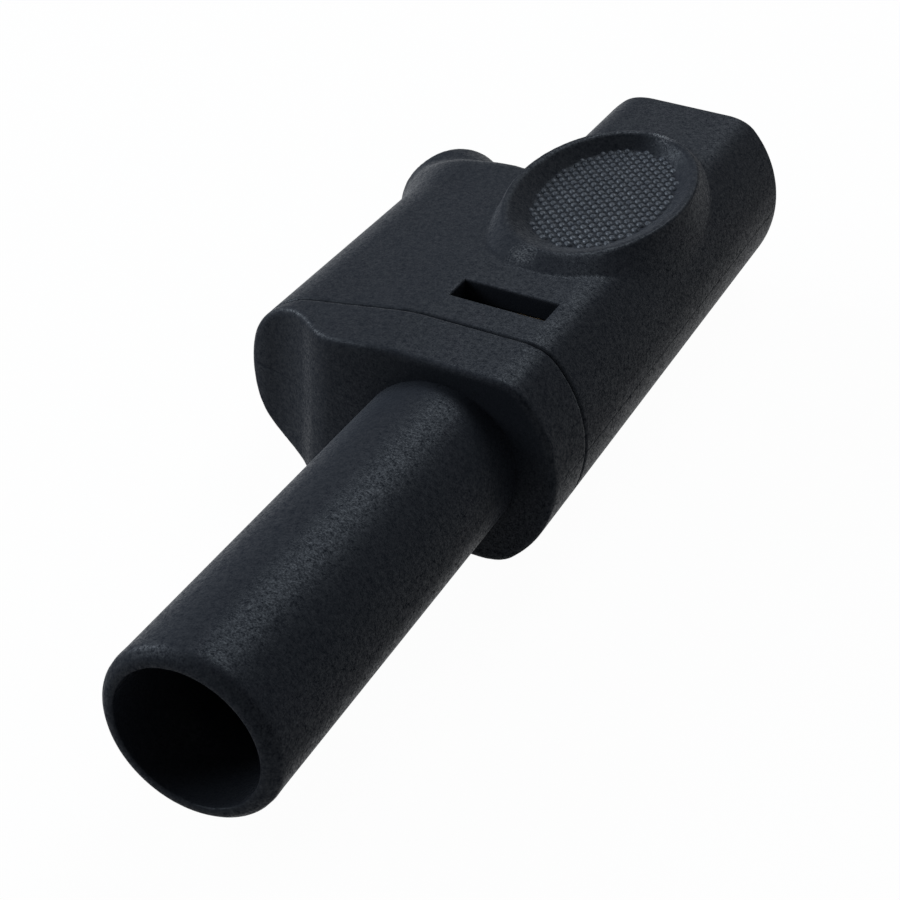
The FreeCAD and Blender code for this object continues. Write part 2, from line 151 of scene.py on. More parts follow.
class Finish:
    """The shader tree of a material or of the world, under construction."""

    def __init__(self, owner):
        self.owner = owner
        owner.use_nodes = True
        self.tree = owner.node_tree
        self.tree.nodes.clear()

    def add(self, kind, settings=None, inputs=None, output=0):
        node = self.tree.nodes.new(kind)
        for key, value in (settings or {}).items():
            setattr(node, key, value)
        for key, value in (inputs or {}).items():
            if isinstance(value, Value):
                self.tree.links.new(value.socket, node.inputs[key])
            else:
                node.inputs[key].default_value = value
        return Value(self, node.outputs[output])

    def place(self):
        return self.add("ShaderNodeTexCoord", output="Object")

    def noise(self, size_mm, detail, stretch=(1.0, 1.0, 1.0)):
        """Noise from 0 to 1 with blobs of about the given size."""
        vector = self.add("ShaderNodeMapping", {}, {"Vector": self.place(), "Scale": stretch})
        return self.add("ShaderNodeTexNoise", {}, {
            "Vector": vector, "Scale": 1 / (size_mm * MM), "Detail": detail})

    def mix(self, share, first, second):
        """A colour between two colours."""
        return self.add(
            "ShaderNodeMix", {"data_type": "RGBA"}, {0: share, 6: first, 7: second}, output=2)

    def clamp(self, value, low, high):
        """Zero up to low, one from high, straight between."""
        return self.add("ShaderNodeMapRange", {}, {
            "Value": value, "From Min": low, "From Max": high})

    def bump(self, height, depth_mm, strength):
        return self.add("ShaderNodeBump", {}, {
            "Height": height, "Distance": depth_mm * MM, "Strength": strength}, output="Normal")

    def shader(self, **sockets):
        """A Principled shader; underscores in the names stand for spaces."""
        inputs = {key.replace("_", " "): value for key, value in sockets.items()}
        return self.add("ShaderNodeBsdfPrincipled", {}, inputs)

    def end(self, shader, output="ShaderNodeOutputMaterial"):
        node = self.tree.nodes.new(output)
        self.tree.links.new(shader.socket, node.inputs["Surface"])
        return self.owner


# %% [markdown]
# ## The moulded plastic
# The shells are a very dark blue-grey polyamide. Its mould was spark eroded, so the surface is
# a fine random grain. Only the tops of the grains shine, as any plastic does, and the pits
# between them are matte, which breaks a highlight into specks. So the finish mixes a matte and a
# shiny shader by the grain itself. Seen at a grazing angle the tops hide the pits, so their share
# grows towards an outline. One slow noise shifts the tone a little.
#
# Two marks of making and use lie over the grain. A fine groove at height zero is the line where
# the halves of the mould met, and it fades out at the sleeve, which is moulded in one. Two spots
# on the pad's rim are rubbed shiny by the thumb, with an edge that the coarse grain breaks up.

# %% Marks on the plastic
LINE_EDGE_MM = (0.02, 0.07)
LINE_FADE_MM = 3.0
RUBBED_SPOTS_MM = ((-0.8, 10.8, 5.3), (0.6, 26.9, 5.6))
RUBBED_EDGE_MM = (0.6, 1.5)
RUBBED_FRAY_MM = 1.2
RUBBED_GRAIN = (0.4, 0.7)
RUBBED_SHINE = 1.4


def mould_line(finish):
    """One on the line where the halves of the mould met, zero beside it."""
    across = finish.add("ShaderNodeSeparateXYZ", {}, {0: finish.place()}, output="Z")
    along = finish.add("ShaderNodeSeparateXYZ", {}, {0: finish.place()}, output="Y")
    inner, outer = LINE_EDGE_MM
    line = 1 - finish.clamp(abs(across), inner * MM, outer * MM)
    return line * finish.clamp(along, 0.0, LINE_FADE_MM * MM)


def rubbed(finish, tops, grain, coarse):
    """The share of shine with the rubbed spots added."""
    inner, outer = RUBBED_EDGE_MM
    worn = finish.clamp(grain, *RUBBED_GRAIN) * RUBBED_SHINE
    for spot in RUBBED_SPOTS_MM:
        centre = tuple(v * MM for v in spot)
        away = finish.add("ShaderNodeVectorMath", {"operation": "DISTANCE"}, {
            0: finish.place(), 1: centre}, output="Value")
        frayed = away + coarse * (RUBBED_FRAY_MM * MM)
        tops = tops + (1 - finish.clamp(frayed, inner * MM, outer * MM)) * worn
    return tops


# %% Moulded plastic
GRAIN_MM = 0.085
COARSE_GRAIN_MM = 0.23
CLOUD_MM = 4.0
GRAIN_DEPTH_MM = 0.012
GRAIN_STRENGTH = 0.8
FINE_HEIGHT, COARSE_HEIGHT, LINE_DEPTH = 0.7, 0.5, 1.8
FINE_SHINE, COARSE_SHINE = 0.65, 0.35
TOPS_BAND = (0.33, 0.70)
GRAZING_BAND = (0.66, 0.98)
GRAZING_SHARE = 0.7
LINE_DULLNESS = 0.6
MATTE_ROUGHNESS = 0.9
SHINY_ROUGHNESS, SHINY_ROUGHNESS_DROP = 0.58, 0.3
COOL_SHINE = (0.84, 0.92, 1.0, 1)


def moulded_plastic(name, dark, pale, shiny_share, marked):
    finish = Finish(bpy.data.materials.new(name))
    grain = finish.noise(GRAIN_MM, 2.5)
    coarse = finish.noise(COARSE_GRAIN_MM, 1.0)
    tone = finish.mix(finish.noise(CLOUD_MM, 2.0), dark, pale)
    height = grain * FINE_HEIGHT + coarse * COARSE_HEIGHT
    grazing = finish.add("ShaderNodeLayerWeight", {}, {"Blend": 0.5}, output="Facing")
    share = finish.clamp(grazing, *GRAZING_BAND) * GRAZING_SHARE + shiny_share
    tops = finish.clamp(grain * FINE_SHINE + coarse * COARSE_SHINE, *TOPS_BAND) * share
    if marked:
        line = mould_line(finish)
        height = height - line * LINE_DEPTH
        tops = rubbed(finish, tops * (1 - line * LINE_DULLNESS), grain, coarse)
    normal = finish.bump(height, GRAIN_DEPTH_MM, GRAIN_STRENGTH)
    matte = finish.shader(
        Base_Color=tone, Roughness=MATTE_ROUGHNESS, Specular_IOR_Level=0.0, Normal=normal)
    shiny = finish.shader(
        Base_Color=tone, Roughness=SHINY_ROUGHNESS - grain * SHINY_ROUGHNESS_DROP,
        Specular_IOR_Level=0.5, Specular_Tint=COOL_SHINE, Normal=normal)
    return finish.end(finish.add("ShaderNodeMixShader", {}, {0: tops, 1: matte, 2: shiny}))


SHELL_DARK, SHELL_PALE, SHELL_SHARE = (0.0104, 0.0118, 0.0150, 1), (0.0130, 0.0147, 0.0183, 1), 0.28
# The grip is a lighter copy of the shell's own plastic: painted light, standing in for the light
# that its many small studs catch.
GRIP_LIT_DARK, GRIP_LIT_PALE, GRIP_SHARE = (0.025, 0.028, 0.034, 1), (0.031, 0.035, 0.042, 1), 0.6
black_plastic = moulded_plastic("moulded_plastic", SHELL_DARK, SHELL_PALE, SHELL_SHARE, True)
grip_plastic_painted_lighter = moulded_plastic("grip_plastic_painted_lighter", GRIP_LIT_DARK, GRIP_LIT_PALE, GRIP_SHARE, False)
print("plastic", len(black_plastic.node_tree.nodes), "nodes")

# %% [markdown]
# ## Bright and bare metals
# The pin, its spring cage and the socket are turned and nickel plated, so their shine is broken
# only by faint rings from the lathe. The block is bare brass, tumbled dull, and the screw is zinc
# plated steel. Rings come from noise that is squeezed along the axis and stretched around it.


# %% Metals
RING_STRETCH = (0.02, 1.0, 0.02)
RING_DEPTH_MM, RING_STRENGTH = 0.003, 0.35
RING_ROUGHNESS = 0.12
STAIN_MM = 2.5
STAIN_BAND = (0.35, 0.7)


def plated_metal(name, dark, pale, rings_mm, roughness):
    finish = Finish(bpy.data.materials.new(name))
    rings = finish.noise(rings_mm, 2.0, RING_STRETCH)
    stain = finish.noise(STAIN_MM, 3.0)
    return finish.end(finish.shader(
        Base_Color=finish.mix(finish.clamp(stain, *STAIN_BAND), dark, pale),
        Metallic=1.0,
        Roughness=roughness + rings * RING_ROUGHNESS,
        Normal=finish.bump(rings, RING_DEPTH_MM, RING_STRENGTH)))


nickel = plated_metal("bright_nickel", (0.60, 0.57, 0.52, 1), (0.74, 0.71, 0.66, 1), 0.12, 0.16)
brass = plated_metal("tumbled_brass", (0.62, 0.42, 0.17, 1), (0.80, 0.60, 0.28, 1), 0.6, 0.30)
zinc = plated_metal("zinc_plate", (0.48, 0.49, 0.51, 1), (0.64, 0.65, 0.67, 1), 0.2, 0.28)
for node, material in (("terminal_block", brass), ("clamp_screw", zinc)):
    slots = bpy.data.objects[node].material_slots
    for slot in slots:
        slot.material = material
    print(node, "slots", len(slots))

# %% [markdown]
# ## Shapes as distance fields
# A moulded shell is hard to build from faces, because every edge is rounded by another radius
# and the rounds run into each other. Here the shell is a field instead: a function that says,
# for every point, how far it lies from the surface, negative inside. The larger of two fields is
# what the shapes share, the smaller is both together, and a soft version of either rounds the
# edge between them.


# %% Joining and rounding fields
def soft_max(a, b, reach):
    """What two shapes share, with the edge between them rounded."""
    near = np.maximum(reach - np.abs(a - b), 0.0)
    return np.maximum(a, b) + near * near / (4 * reach)


def soft_min(a, b, reach):
    """Two shapes together, with the corner between them filled."""
    return -soft_max(-a, -b, reach)


def shared(*fields):
    return np.maximum.reduce(np.broadcast_arrays(*fields))


def joined(*fields):
    return np.minimum.reduce(np.broadcast_arrays(*fields))


def span(value, low, high):
    """A slab between two planes."""
    return np.maximum(low - value, value - high)


# %% [markdown]
# ## From field to mesh
# Dual contouring lays a grid over the field and puts one vertex in every cell that the surface
# crosses, at the point that agrees best with the slopes around it. Unlike a voxel remesh it
# keeps sharp edges, and cells may be long where a shell is straight and short where it turns.
# The shading normals come from the field itself, taken a little way into each face, so a sharp
# edge stays sharp and a round one is smooth even where the cells are large.

# %% Crossings of the grid
SLOPE_STEP = 0.01
HALVINGS = 12
TINY = 1e-9


def slope(field, points):
    """Unit direction in which the field grows, at each point."""
    out = np.empty_like(points)
    for axis in range(3):
        step = np.zeros(3)
        step[axis] = SLOPE_STEP
        out[:, axis] = field(*(points + step).T) - field(*(points - step).T)
    return out / np.maximum(np.linalg.norm(out, axis=1, keepdims=True), TINY)


def crossings(field, lines, value, axis):
    """Where the grid's edges along one axis meet the surface, and which way it faces."""
    low = [slice(None)] * 3
    high = [slice(None)] * 3
    low[axis], high[axis] = slice(0, -1), slice(1, None)
    inside = value < 0
    index = np.argwhere(inside[tuple(low)] != inside[tuple(high)])
    start = np.stack([lines[i][index[:, i]] for i in range(3)], axis=1)
    end = start.copy()
    end[:, axis] = lines[axis][index[:, axis] + 1]
    outwards = inside[tuple(index.T)]
    for _ in range(HALVINGS):
        middle = (start + end) / 2
        same = (field(*middle.T) < 0) == outwards
        start[same], end[~same] = middle[same], middle[~same]
    return index, (start + end) / 2, outwards


def faces_along(field, lines, value, axis):
    """One face for each crossed edge, from the four cells around it, and where it is crossed."""
    shape = [len(line) - 1 for line in lines]
    index, point, outwards = crossings(field, lines, value, axis)
    b, c = (axis + 1) % 3, (axis + 2) % 3
    corners = []
    for db, dc in ((-1, -1), (0, -1), (0, 0), (-1, 0)):
        cell = index.copy()
        cell[:, b] += db
        cell[:, c] += dc
        corners.append(np.ravel_multi_index(cell.T, shape))
    quads = np.stack(corners, axis=1)
    quads[~outwards] = quads[~outwards][:, ::-1]
    return quads, point


# %% Dual contouring
PULL_TO_MIDDLE = 0.03


def best_points(cell_count, owner, points, normals):
    """For every cell, the point that agrees best with the planes of its crossings."""
    def total(weights):
        return np.bincount(owner, weights, cell_count)

    count = total(np.ones(len(owner)))
    middle = np.stack([total(points[:, i]) for i in range(3)], axis=1) / count[:, None]
    offset = np.einsum("ij,ij->i", normals, points - middle[owner])
    right = np.stack([total(normals[:, i] * offset) for i in range(3)], axis=1)
    matrix = np.empty((cell_count, 3, 3))
    for i in range(3):
        for j in range(3):
            matrix[:, i, j] = total(normals[:, i] * normals[:, j])
    matrix += PULL_TO_MIDDLE * np.eye(3) * count[:, None, None]
    return middle + np.linalg.solve(matrix, right[:, :, None])[:, :, 0]


def contour(field, lines):
    """Vertices and four-sided faces of the surface where the field is zero."""
    value = field(*np.meshgrid(*lines, indexing="ij"))
    found = [faces_along(field, lines, value, axis) for axis in range(3)]
    quads = np.concatenate([faces for faces, point in found])
    points = np.concatenate([point for faces, point in found])
    normals = slope(field, points)
    used, place = np.unique(quads, return_inverse=True)
    place = place.reshape(quads.shape)
    vertices = best_points(
        len(used), place.ravel(), np.repeat(points, 4, axis=0), np.repeat(normals, 4, axis=0))
    cell = np.unravel_index(used, [len(line) - 1 for line in lines])
    for axis, line in enumerate(lines):
        vertices[:, axis] = np.clip(
            vertices[:, axis], line[cell[axis]], line[cell[axis] + 1])
    return vertices, place


# %% A mesh piece from a field
NORMAL_INSET = 0.25


def grid_line(*spans):
    """Grid places along one axis, from (start, end, step) spans."""
    parts = [np.linspace(a, b, max(1, round((b - a) / step)) + 1) for a, b, step in spans]
    return np.unique(np.concatenate(parts).round(5))


def new_piece(name, mesh, material):
    piece = bpy.data.objects.new(name, mesh)
    bpy.context.scene.collection.objects.link(piece)
    mesh.materials.clear()
    mesh.materials.append(material)
    return piece


def field_piece(name, field, lines, material):
    vertices, faces = contour(field, lines)
    corners = vertices[faces]
    face_middle = corners.mean(axis=1, keepdims=True)
    inset = (1 - NORMAL_INSET) * corners + NORMAL_INSET * face_middle
    normals = slope(field, inset.reshape(-1, 3))
    mesh = bpy.data.meshes.new(name)
    mesh.from_pydata((vertices * MM).tolist(), [], faces.tolist())
    mesh.shade_smooth()
    mesh.normals_split_custom_set(normals.tolist())
    print(name, len(vertices), "vertices", 2 * len(faces), "triangles")
    return new_piece(name, mesh, material)


# %% [markdown]
# ## The section that both shells share
# Seen from the sleeve's end the plug is a flat topped neck with bulging sides, and on its left a
# wing with a round end that carries the cable. Cap and housing have the same section, so it is
# one function, and the hollow inside is the same section moved inwards by the wall.

# %% Section
HALF_HEIGHT = cap_high[2]
NECK_HALF_WIDTH = cap_high[0]
SIDE_BULGE = 2.55
WING_DROP = 0.85
FLAT_HALF_WIDTH = NECK_HALF_WIDTH - SIDE_BULGE
SIDE_RADIUS = (SIDE_BULGE ** 2 + HALF_HEIGHT ** 2) / (2 * SIDE_BULGE)
SIDE_CENTRE_X = NECK_HALF_WIDTH - SIDE_RADIUS
WING_RADIUS = HALF_HEIGHT - WING_DROP
WING_CENTRE_X = cap_low[0] + WING_RADIUS
WALL = 1.1
SHOULDER_SOFTNESS = 0.58
WING_SOFTNESS = 0.134

crease_x = -FLAT_HALF_WIDTH - WING_CENTRE_X
crease_reach = math.hypot(crease_x, HALF_HEIGHT)
WING_ANGLE = math.atan2(HALF_HEIGHT, crease_x) + math.acos(WING_RADIUS / crease_reach)


def neck_section(x, z):
    """Flat top and bottom with bulging sides, alike on left and right."""
    side = np.hypot(np.abs(x) - SIDE_CENTRE_X, z) - SIDE_RADIUS
    return soft_max(np.abs(z) - HALF_HEIGHT, side, SHOULDER_SOFTNESS)


def body_section(x, z):
    """The neck's right side and the wing together."""
    side = np.where(
        x > SIDE_CENTRE_X, np.hypot(x - SIDE_CENTRE_X, z), np.abs(z)) - SIDE_RADIUS
    across, up = x - WING_CENTRE_X, np.abs(z)
    on_slope = across * math.cos(WING_ANGLE) + up * math.sin(WING_ANGLE)
    round_end = np.arctan2(up, across) > WING_ANGLE
    wing = np.where(round_end, np.hypot(across, up), on_slope) - WING_RADIUS
    neck = soft_max(up - HALF_HEIGHT, side, SHOULDER_SOFTNESS)
    return soft_max(neck, wing, WING_SOFTNESS)


print("wing slope", round(math.degrees(WING_ANGLE) - 90, 2), "degrees")

# %% [markdown]
# ## The housing
# The housing is the long shell: neck and wing in one, a raised oval pad with a dished middle, a
# slanting outlet for the cable, a latch window above and below, and in its rear end a ring-shaped
# gap that takes the guard sleeve of the next plug. Each of these is one short field.

# %% Housing sizes
SEAM_Y = housing_low[1]
NECK_END_Y = housing_high[1]
WING_END_Y = 21.4
CAVITY_END_Y = 10.3
EDGE_SOFTNESS = 1.17
WING_END_SOFTNESS = EDGE_SOFTNESS * 0.9
NECK_END_SOFTNESS = EDGE_SOFTNESS * 0.35
SEAM_SOFTNESS = 0.2
SEAM_GAP = 0.06
WINDOW_HALF_WIDTH = 2.45
WINDOW_START_Y, WINDOW_END_Y = 6.0, 7.7
WINDOW_SOFTNESS = 0.12
OVERLAP = 1.0

OUTLET_ELBOW = (WING_CENTRE_X, WING_END_Y - 0.05)
OUTLET_LENGTH = 4.8
OUTLET_END_RADIUS = 3.02
OUTLET_TAPER = 0.45
OUTLET_END_SOFTNESS = EDGE_SOFTNESS * 0.6
WING_ROOT_SOFTNESS = 2.1
NECK_ROOT_SOFTNESS = 2.8
CABLE_RADIUS = 2.1
CABLE_FLARE = 0.5
DIAGONAL = math.sqrt(0.5)

GAP_RADIUS = 4.15
GAP_BOTTOM_Y = CAVITY_END_Y + WALL
GAP_SOFTNESS = 0.14
TUBE_RADIUS = 3.1
TUBE_END_Y = NECK_END_Y - 0.3
LIP_RADIUS = 2.3
LIP_START_Y = TUBE_END_Y - 3.0
BARREL_BORE_RADIUS = 2.55
BORE_SOFTNESS = 0.1

PAD_TOP_Z = housing_high[2]
PAD_CENTRE_Y = 19.1
CREST_HALF = (4.52, 7.95)
FOOT_CENTRE_Y = 18.55
FOOT_HALF = (5.37, 8.75)
FOOT_SQUARENESS = 2.37
FOOT_SINK = 0.12
FOOT_SHOULDER = 0.9
FOOT_SOFTNESS = 0.08
SKIRT_STEEPNESS = 0.8
CREST_SOFTNESS = 0.14
DISH_FLOOR_Z = 4.8
DISH_FLOOR_HALF = (3.25, 6.2)
DISH_FLOOR_SHIFT = 0.6
DISH_FLOOR_SOFTNESS = 0.12
DISH_TOP_HALF = (4.22, 7.65)
DISH_STEEPNESS = 0.6
print("seam at", round(SEAM_Y, 2), "neck end at", round(NECK_END_Y, 2))


# %% Pad and dish fields
def oval_size(x, y, half_x, half_y, squareness):
    """How large a point's own oval is, one on the edge, and its place as shares of the halves."""
    u, v = np.abs(x) / half_x + 1e-6, np.abs(y) / half_y + 1e-6
    return (u ** squareness + v ** squareness) ** (1 / squareness), u, v


def oval(x, y, half_x, half_y, squareness=2.0):
    """Distance to an oval about the origin, good near its edge."""
    size, u, v = oval_size(x, y, half_x, half_y, squareness)
    power = squareness - 1
    steep = np.hypot((u / size) ** power / half_x, (v / size) ** power / half_y)
    return (size - 1) / steep


def pad_mound(x, y, z):
    """The pad's oval, which narrows from its foot on the neck to its crest."""
    size, _, _ = oval_size(x, y - FOOT_CENTRE_Y, *FOOT_HALF, FOOT_SQUARENESS)
    reach = np.abs(x) / np.maximum(size, 0.2) - SIDE_CENTRE_X
    side = np.sqrt(np.maximum(SIDE_RADIUS ** 2 - reach ** 2, 0.0))
    foot = soft_min(HALF_HEIGHT, side, FOOT_SHOULDER) - FOOT_SINK
    rise = np.clip((z - foot) / (PAD_TOP_Z - foot), 0, 1)
    lower = oval(x, y - FOOT_CENTRE_Y, *FOOT_HALF, FOOT_SQUARENESS)
    upper = oval(x, y - PAD_CENTRE_Y, *CREST_HALF)
    skirt = (1 - rise) * lower + rise * upper
    return soft_max(skirt * SKIRT_STEEPNESS, z - PAD_TOP_Z, CREST_SOFTNESS)


def pad_dish(x, y, z):
    """The hollow of the pad: a flat oval floor, set back, with sloping walls."""
    rise = (z - DISH_FLOOR_Z) / (PAD_TOP_Z - DISH_FLOOR_Z)
    half_x = DISH_FLOOR_HALF[0] + rise * (DISH_TOP_HALF[0] - DISH_FLOOR_HALF[0])
    half_y = DISH_FLOOR_HALF[1] + rise * (DISH_TOP_HALF[1] - DISH_FLOOR_HALF[1])
    centre_y = PAD_CENTRE_Y + (1 - rise) * DISH_FLOOR_SHIFT
    wall = oval(x, y - centre_y, np.maximum(half_x, 1), np.maximum(half_y, 1))
    return soft_max(wall * DISH_STEEPNESS, DISH_FLOOR_Z - z, DISH_FLOOR_SOFTNESS)


# %% Outlet fields
def outlet_places(x, y, z):
    """How far along the outlet's axis a point lies, and how far from that axis."""
    dx, dy = x - OUTLET_ELBOW[0], y - OUTLET_ELBOW[1]
    along = (dy - dx) * DIAGONAL
    aside = (dx + dy) * DIAGONAL
    return along, np.hypot(aside, z)


def outlet(x, y, z):
    """The tapered tube for the cable, with a rounded knee at the elbow."""
    along, away = outlet_places(x, y, z)
    left = np.clip(1 - along / OUTLET_LENGTH, 0, 1)
    tube = np.hypot(away, np.minimum(along, 0)) - OUTLET_END_RADIUS - OUTLET_TAPER * left
    return soft_max(tube, along - OUTLET_LENGTH, OUTLET_END_SOFTNESS)


def cable_way(x, y, z):
    """The channel for the cable, straight in the wing and slanting in the outlet."""
    along, away = outlet_places(x, y, z)
    slant = np.hypot(away, np.minimum(along, 0)) - CABLE_RADIUS
    flare = away - CABLE_RADIUS - np.clip(along - OUTLET_LENGTH + CABLE_FLARE, 0, 1)
    straight = np.maximum(
        np.hypot(x - WING_CENTRE_X, z) - CABLE_RADIUS,
        span(y, CAVITY_END_Y - OVERLAP, OUTLET_ELBOW[1]))
    return joined(slant, np.maximum(flare, OUTLET_LENGTH - CABLE_FLARE - along), straight)


# %% Housing field
def housing_hollows(x, y, z):
    """Terminal cavity, cable channel, guarded socket and latch windows."""
    from_axis = np.hypot(x, z)
    cavity = np.maximum(body_section(x, z) + WALL, y - CAVITY_END_Y)
    gap = shared(from_axis - GAP_RADIUS, TUBE_RADIUS - from_axis, GAP_BOTTOM_Y - y)
    rim = np.maximum(from_axis - GAP_RADIUS, TUBE_END_Y - y)
    bore = np.maximum(
        from_axis - BARREL_BORE_RADIUS, span(y, CAVITY_END_Y - OVERLAP, LIP_START_Y))
    lip = np.maximum(from_axis - LIP_RADIUS, LIP_START_Y - OVERLAP - y)
    window = np.maximum(np.abs(x) - WINDOW_HALF_WIDTH, span(y, WINDOW_START_Y, WINDOW_END_Y))
    return cavity, joined(gap, rim), joined(bore, lip), window


def housing_field(x, y, z):
    """The whole shell. The outlet's root is tight on the wing and wider towards the neck."""
    wing = soft_max(body_section(x, z), y - WING_END_Y, WING_END_SOFTNESS)
    neck = soft_max(neck_section(x, z), y - NECK_END_Y, NECK_END_SOFTNESS)
    near_neck = np.clip((x - WING_CENTRE_X) / (-NECK_HALF_WIDTH - WING_CENTRE_X), 0, 1)
    root = WING_ROOT_SOFTNESS + near_neck * (NECK_ROOT_SOFTNESS - WING_ROOT_SOFTNESS)
    body = soft_min(joined(wing, neck), outlet(x, y, z), root)
    body = soft_max(body, SEAM_Y + SEAM_GAP - y, SEAM_SOFTNESS)
    body = soft_min(body, np.maximum(pad_mound(x, y, z), -z), FOOT_SOFTNESS)
    body = soft_max(body, -pad_dish(x, y, z), CREST_SOFTNESS)
    cavity, gap, bore, window = housing_hollows(x, y, z)
    body = soft_max(body, -window, WINDOW_SOFTNESS)
    body = soft_max(body, -gap, GAP_SOFTNESS)
    return soft_max(body, -joined(cavity, bore, cable_way(x, y, z)), BORE_SOFTNESS)


# %% Housing mesh
# Each span is (start, end, step): short steps at the seam, the window and the neck's end.
housing_lines = (
    grid_line((housing_low[0] - 0.33, housing_high[0] + 0.3, 0.2)),
    grid_line(
        (SEAM_Y - 0.21, SEAM_Y + 0.4, 0.1), (SEAM_Y + 0.4, WINDOW_START_Y - 0.2, 0.33),
        (WINDOW_START_Y - 0.2, WINDOW_END_Y + 0.2, 0.15), (WINDOW_END_Y + 0.2, 27.8, 0.26),
        (27.8, NECK_END_Y - 0.7, 0.4), (NECK_END_Y - 0.7, NECK_END_Y + 0.15, 0.12)),
    grid_line((housing_low[2] - 0.23, 4.55, 0.2), (4.55, housing_high[2] + 0.2, 0.14)),
)
housing_shell = field_piece("housing_shell", housing_field, housing_lines, black_plastic)
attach(housing_shell, "root")
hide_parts("housing")

# %% [markdown]
# ## The cap
# The cap closes the housing's front. Its face is flat by the sleeve, bends back towards a ridge
# and falls into a scoop for the finger beside the cable wing. The long guard sleeve leaves the
# face, and behind the seam a low rim and two latch tongues reach into the housing.

# %% Cap sizes
SLEEVE_RADIUS = 4.0
SLEEVE_TIP_Y = cap_low[1]
SLEEVE_BORE_RADIUS = 3.25
SLEEVE_BORE_SOFTNESS = 0.12
SLEEVE_RIM_BEVEL = 0.4
SLEEVE_RIM_SOFTNESS = 0.16
PARTITION_START_Y, PARTITION_END_Y = -0.4, 1.4
PIN_HOLE_RADIUS = 2.45
FACE_LEAN = 0.45
RIDGE_X = -6.65
SCOOP_CORNER = (-9.0, SEAM_Y - 1.09)
SCOOP_END = (WING_CENTRE_X - WING_RADIUS - WALL, SEAM_Y - 0.35)
SCOOP_SOFTNESS = 0.9
RIDGE_SOFTNESS = 0.45
CAP_EDGE_SOFTNESS = 0.36
CAP_SEAM_SOFTNESS = 0.26
bend_width = -FLAT_HALF_WIDTH - RIDGE_X
BEND_RADIUS = (bend_width ** 2 + FACE_LEAN ** 2) / (2 * FACE_LEAN)
SPIGOT_OUTER_INSET = WALL + 0.08
SPIGOT_INNER_INSET = SPIGOT_OUTER_INSET + 0.8
SPIGOT_END_Y = SEAM_Y + 1.25
SPIGOT_LEFT_X = -5.5
TONGUE_HALF_WIDTH = WINDOW_HALF_WIDTH - 0.35
TONGUE_SLIT = 0.5
TONGUE_END_Y = cap_high[1]
HOOK_Y = WINDOW_START_Y + 0.06
HOOK_LAND = 0.3
HOOK_TOP_Z = HALF_HEIGHT - 0.35
print("cap face bends with radius", round(BEND_RADIUS, 1), "mm")


# %% Cap field
def beyond(x, y, start, end):
    """Distance in front of the line through two points, seen from above."""
    dx, dy = end[0] - start[0], end[1] - start[1]
    length = math.hypot(dx, dy)
    return ((y - start[1]) * dx - (x - start[0]) * dy) / length


def cap_plan(x, y):
    """The cap's front: flat face, bend, ridge and finger scoop."""
    bend = np.hypot(x + FLAT_HALF_WIDTH, y - BEND_RADIUS) - BEND_RADIUS
    face = np.where(x > -FLAT_HALF_WIDTH, -y, bend)
    slope_down = beyond(x, y, (RIDGE_X, FACE_LEAN), SCOOP_CORNER)
    floor = beyond(x, y, SCOOP_CORNER, SCOOP_END)
    return soft_max(face, soft_min(slope_down, floor, SCOOP_SOFTNESS), RIDGE_SOFTNESS)


def tongues(x, y, z):
    """The latch tongues, above and below, with their hooks."""
    up = np.abs(z)
    low, high = HALF_HEIGHT - SPIGOT_INNER_INSET, HALF_HEIGHT - SPIGOT_OUTER_INSET
    plate = np.maximum(span(up, low, high), span(y, PARTITION_END_Y, TONGUE_END_Y))
    ramp = ((y - HOOK_Y - HOOK_LAND) + (up - HOOK_TOP_Z)) * DIAGONAL
    hook = shared(HOOK_Y - y, ramp, up - HOOK_TOP_Z, (low + high) / 2 - up, y - TONGUE_END_Y)
    return np.maximum(joined(plate, hook), np.abs(x) - TONGUE_HALF_WIDTH)


def guard_sleeve(from_axis, y):
    """The sleeve without its bore, with a bevel around the mouth."""
    bevel = (from_axis - SLEEVE_RADIUS + SLEEVE_TIP_Y - y + SLEEVE_RIM_BEVEL) * DIAGONAL
    sleeve = soft_max(from_axis - SLEEVE_RADIUS, bevel, SLEEVE_RIM_SOFTNESS)
    sleeve = soft_max(sleeve, SLEEVE_TIP_Y - y, SLEEVE_RIM_SOFTNESS)
    return np.maximum(sleeve, y - PARTITION_END_Y)


def cap_field(x, y, z):
    """The whole cap: front, sleeve, hollows, then the spigot and the tongues behind the seam."""
    from_axis = np.hypot(x, z)
    section = body_section(x, z)
    body = soft_max(section, cap_plan(x, y), CAP_EDGE_SOFTNESS)
    body = soft_max(body, y - SEAM_Y, CAP_SEAM_SOFTNESS)
    body = joined(body, guard_sleeve(from_axis, y))
    bore = np.maximum(from_axis - SLEEVE_BORE_RADIUS, y - PARTITION_START_Y)
    body = soft_max(body, -bore, SLEEVE_BORE_SOFTNESS)
    inner = section + SPIGOT_INNER_INSET
    core = shared(inner, PARTITION_END_Y - y, SPIGOT_LEFT_X - x)
    body = shared(body, -core, PIN_HOLE_RADIUS - from_axis)
    spigot = shared(
        section + SPIGOT_OUTER_INSET, -inner, SPIGOT_LEFT_X - x,
        TONGUE_HALF_WIDTH + TONGUE_SLIT - np.abs(x), span(y, PARTITION_END_Y, SPIGOT_END_Y))
    return joined(body, spigot, tongues(x, y, z))


# %% Cap mesh
# The sleeve is straight, so it needs long steps only. Its mouth and the cap's front need short ones.
cap_lines = (
    grid_line((cap_low[0] - 0.27, cap_high[0] + 0.25, 0.17)),
    grid_line(
        (SLEEVE_TIP_Y - 0.13, SLEEVE_TIP_Y + 0.5, 0.09), (SLEEVE_TIP_Y + 0.5, -0.9, 0.5),
        (-0.9, SEAM_Y + 0.12, 0.14), (SEAM_Y + 0.12, TONGUE_END_Y + 0.2, 0.2)),
    grid_line((cap_low[2] - 0.21, cap_high[2] + 0.21, 0.17)),
)
cap_shell = field_piece("cap_shell", cap_field, cap_lines, black_plastic)
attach(cap_shell, "root")
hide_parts("front_cap")

